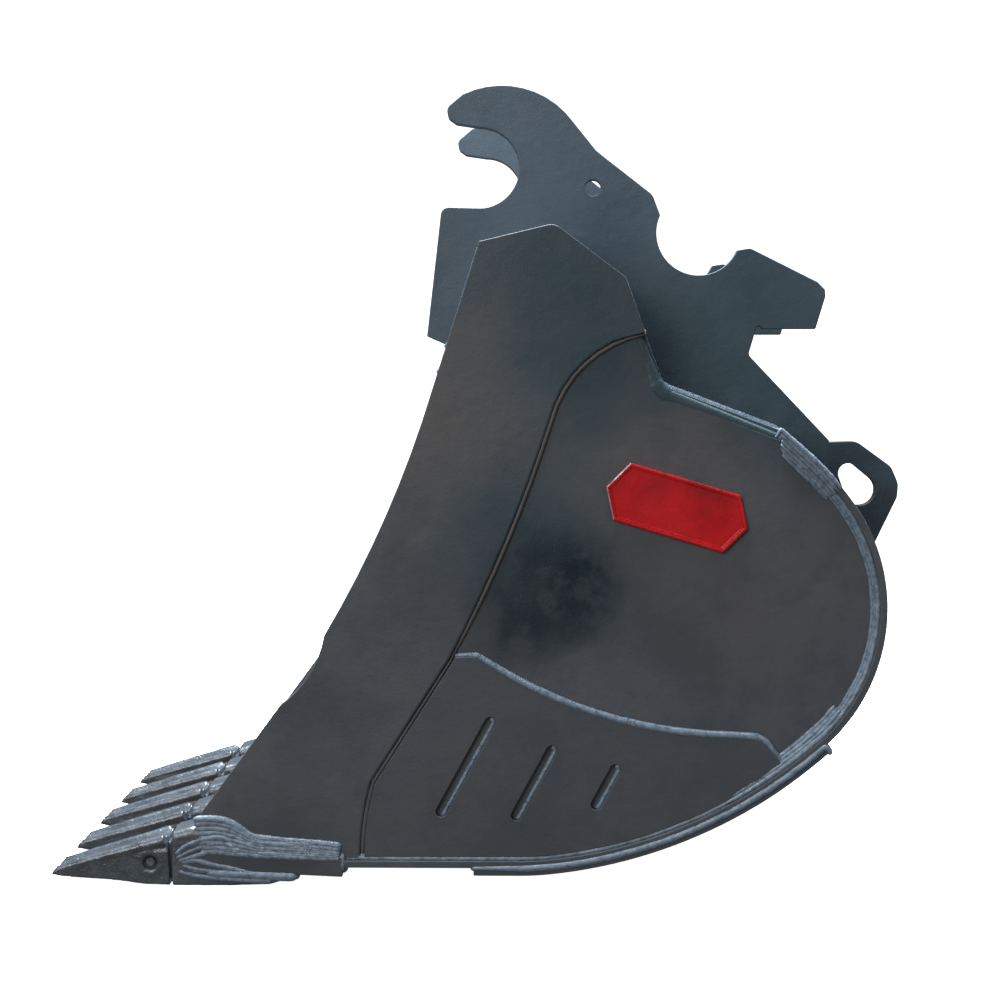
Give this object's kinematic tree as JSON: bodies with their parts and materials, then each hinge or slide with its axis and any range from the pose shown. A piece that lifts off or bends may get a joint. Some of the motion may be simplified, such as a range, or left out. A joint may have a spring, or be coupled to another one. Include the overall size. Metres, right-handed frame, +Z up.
{
  "type": "excavator bucket",
  "caption": "Welded excavator digging bucket with hooked quick-coupler ears, a lifting eye, a toothed lip, wear plates and a curved steel back.",
  "frame": {"origin": "centre of the front hook, on the pin line, at mid-width between the ears", "axes": "+X runs from the hook to the back of the bucket, +Y runs across the width to the right-hand side, +Z is up with the floor of the bucket level"},
  "size_m": [1.5103, 0.89, 1.3729],
  "materials": {
    "body_paint": "satin dark grey paint",
    "wear_plate_paint": "satin dark grey paint on wear plate",
    "ear_paint": "satin blue-grey paint",
    "adapter_paint": "semi-gloss grey paint on rough casting",
    "tooth_paint": "semi-gloss grey paint on rough casting",
    "badge_paint": "gloss red paint",
    "weld_paint": "painted weld beads",
    "pin_steel": "painted steel pin end",
    "retainer_steel": "spring steel"
  },
  "bodies": {
    "bucket": {"side_plate_left": "body_paint", "side_plate_right": "body_paint", "side_edge_plate_left": "body_paint", "side_edge_plate_right": "body_paint", "side_wear_plate_left": "wear_plate_paint", "side_wear_plate_right": "wear_plate_paint", "badge_left": "badge_paint", "badge_right": "badge_paint", "wrapper_shell": "body_paint", "top_plate": "body_paint", "lip_plate": "body_paint", "box_front_plate": "body_paint", "box_top_plate": "body_paint", "box_rear_plate": "body_paint", "box_floor_plate": "body_paint", "box_diaphragm_left": "body_paint", "box_diaphragm_right": "body_paint", "wear_strip_1": "wear_plate_paint", "wear_strip_2": "wear_plate_paint", "wear_strip_3": "wear_plate_paint", "wear_strip_4": "wear_plate_paint", "wear_strip_5": "wear_plate_paint", "ear_plate_left": "ear_paint", "ear_plate_right": "ear_paint", "front_tie_plate": "ear_paint", "rear_tie_plate": "ear_paint", "lifting_eye": "ear_paint", "adapter_1": "adapter_paint", "adapter_2": "adapter_paint", "adapter_3": "adapter_paint", "adapter_4": "adapter_paint", "adapter_5": "adapter_paint", "tooth_1": "tooth_paint", "tooth_2": "tooth_paint", "tooth_3": "tooth_paint", "tooth_4": "tooth_paint", "tooth_5": "tooth_paint", "pin_retainer_1": "retainer_steel", "pin_retainer_2": "retainer_steel", "pin_retainer_3": "retainer_steel", "pin_retainer_4": "retainer_steel", "pin_retainer_5": "retainer_steel"},
    "pin_1": {"tooth_pin_1": "pin_steel"},
    "pin_2": {"tooth_pin_2": "pin_steel"},
    "pin_3": {"tooth_pin_3": "pin_steel"},
    "pin_4": {"tooth_pin_4": "pin_steel"},
    "pin_5": {"tooth_pin_5": "pin_steel"}
  },
  "joints": [
    {"name": "tooth_pin_1_drive_out", "type": "slide", "parent": "bucket", "child": "pin_1", "axis": [0, -1, 0], "range_m": [0, 0.09]},
    {"name": "tooth_pin_2_drive_out", "type": "slide", "parent": "bucket", "child": "pin_2", "axis": [0, -1, 0], "range_m": [0, 0.09]},
    {"name": "tooth_pin_3_drive_out", "type": "slide", "parent": "bucket", "child": "pin_3", "axis": [0, -1, 0], "range_m": [0, 0.09]},
    {"name": "tooth_pin_4_drive_out", "type": "slide", "parent": "bucket", "child": "pin_4", "axis": [0, -1, 0], "range_m": [0, 0.09]},
    {"name": "tooth_pin_5_drive_out", "type": "slide", "parent": "bucket", "child": "pin_5", "axis": [0, -1, 0], "range_m": [0, 0.09]}
  ]
}
